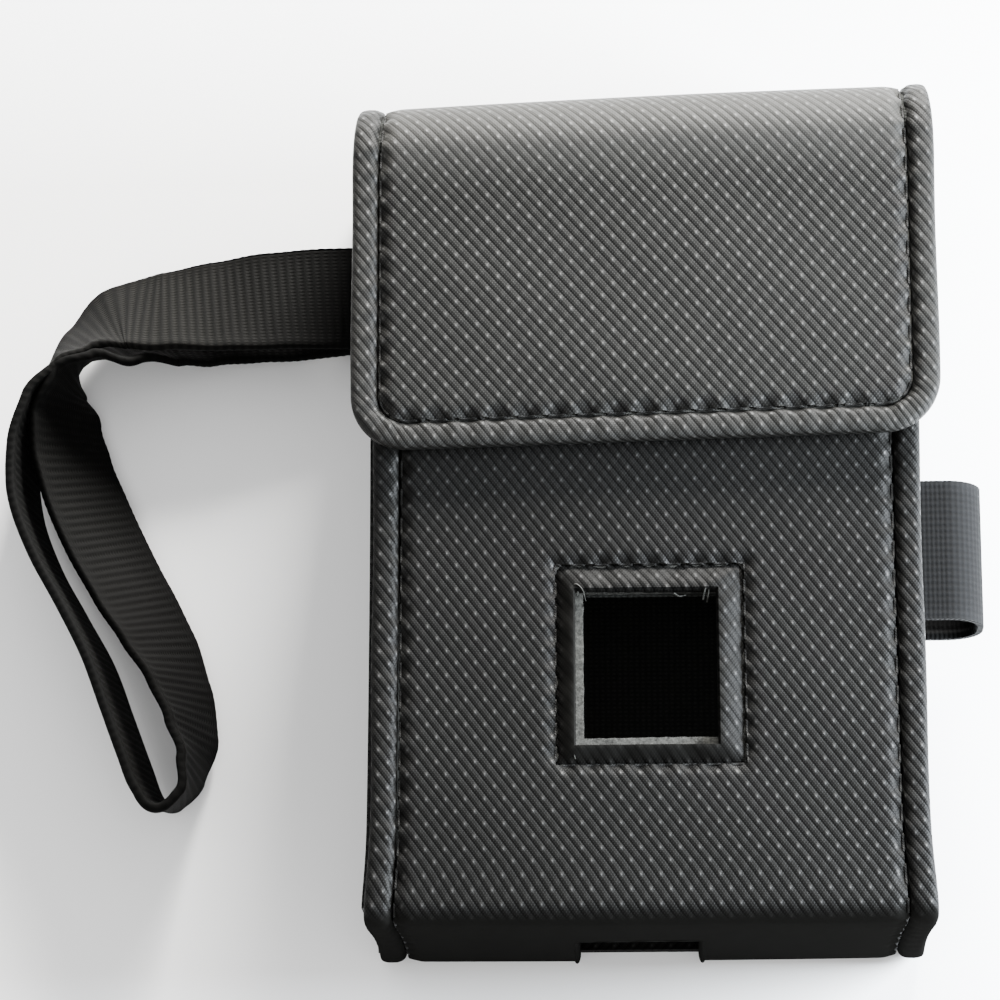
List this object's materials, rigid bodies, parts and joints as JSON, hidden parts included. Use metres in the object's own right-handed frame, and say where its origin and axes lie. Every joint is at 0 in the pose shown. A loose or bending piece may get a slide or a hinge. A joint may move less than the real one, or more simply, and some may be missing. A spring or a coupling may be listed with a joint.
{
  "type": "instrument carrying case",
  "caption": "Soft lined carrying case for a pocket instrument, with a folding flap, a front window, a bottom slot, an elastic pen loop and a webbing wrist strap.",
  "frame": {"origin": "middle of the back panel's outer face, which the case lies on", "axes": "+Z out of the case's front face, +Y towards the flap's end, +X towards the pen loop"},
  "size_m": [0.133, 0.115, 0.0368],
  "materials": {
    "cover": "coated leatherette embossed with a close diamond of slanting ribs, half matt, dark warm grey",
    "rolled_edge": "the same leatherette rolled over a seam, worn a little lighter on its crown",
    "board": "light grey fibrous stiffening board, raw where it is cut",
    "lining": "thin black brushed knit lining, matt",
    "webbing": "black synthetic webbing with close cross ribs, matt with a faint sheen",
    "elastic": "woven grey-black elastic with fine ribs and plain selvages",
    "thread": "twisted sewing thread, warm grey",
    "closure": "black hook-and-loop tape, fuzzy on the body and hooked on the flap"
  },
  "bodies": {
    "root": {"front_cover": "cover", "back_cover": "cover", "bottom_cover": "cover", "left_cover": "cover", "right_cover": "cover", "front_board": "board", "back_board": "board", "bottom_board": "board", "left_board": "board", "right_board": "board", "front_lining": "lining", "back_lining": "lining", "bottom_lining": "lining", "left_lining": "lining", "right_lining": "lining", "front_left_roll": "rolled_edge", "front_right_roll": "rolled_edge", "back_left_roll": "rolled_edge", "back_right_roll": "rolled_edge", "bottom_left_roll": "rolled_edge", "bottom_right_roll": "rolled_edge", "thread_front_left": "thread", "thread_front_right": "thread", "thread_back_left": "thread", "thread_back_right": "thread", "thread_window": "thread", "window_binding": "rolled_edge", "loop_patch": "closure", "pen_loop": "elastic", "strap_anchor": "webbing"},
    "flap_end": {"back_fold": "cover", "flap_end_cover": "cover", "flap_end_board": "board", "flap_end_lining": "lining", "flap_end_left_roll": "rolled_edge", "flap_end_right_roll": "rolled_edge"},
    "flap_front": {"front_fold": "cover", "flap_front_cover": "cover", "flap_front_board": "board", "flap_front_lining": "lining", "flap_front_roll": "rolled_edge", "thread_flap": "thread", "hook_patch": "closure"},
    "strap": {"wrist_strap": "webbing"}
  },
  "joints": [
    {"name": "flap_back_fold", "type": "hinge", "parent": "root", "child": "flap_end", "pos_m": [0, 0.05643, 0.00107], "axis": [-1, 0, 0], "range_deg": [0, 90], "deforming": ["back_fold"]},
    {"name": "flap_front_fold", "type": "hinge", "parent": "flap_end", "child": "flap_front", "pos_m": [0, 0.05557, 0.03477], "axis": [-1, 0, 0], "range_deg": [0, 90], "deforming": ["front_fold"]},
    {"name": "strap_swing", "type": "hinge", "parent": "root", "child": "strap", "pos_m": [-0.0381, 0.0366, 0.0059], "axis": [0, 1, 0], "range_deg": [0, 60], "deforming": ["wrist_strap"]}
  ]
}
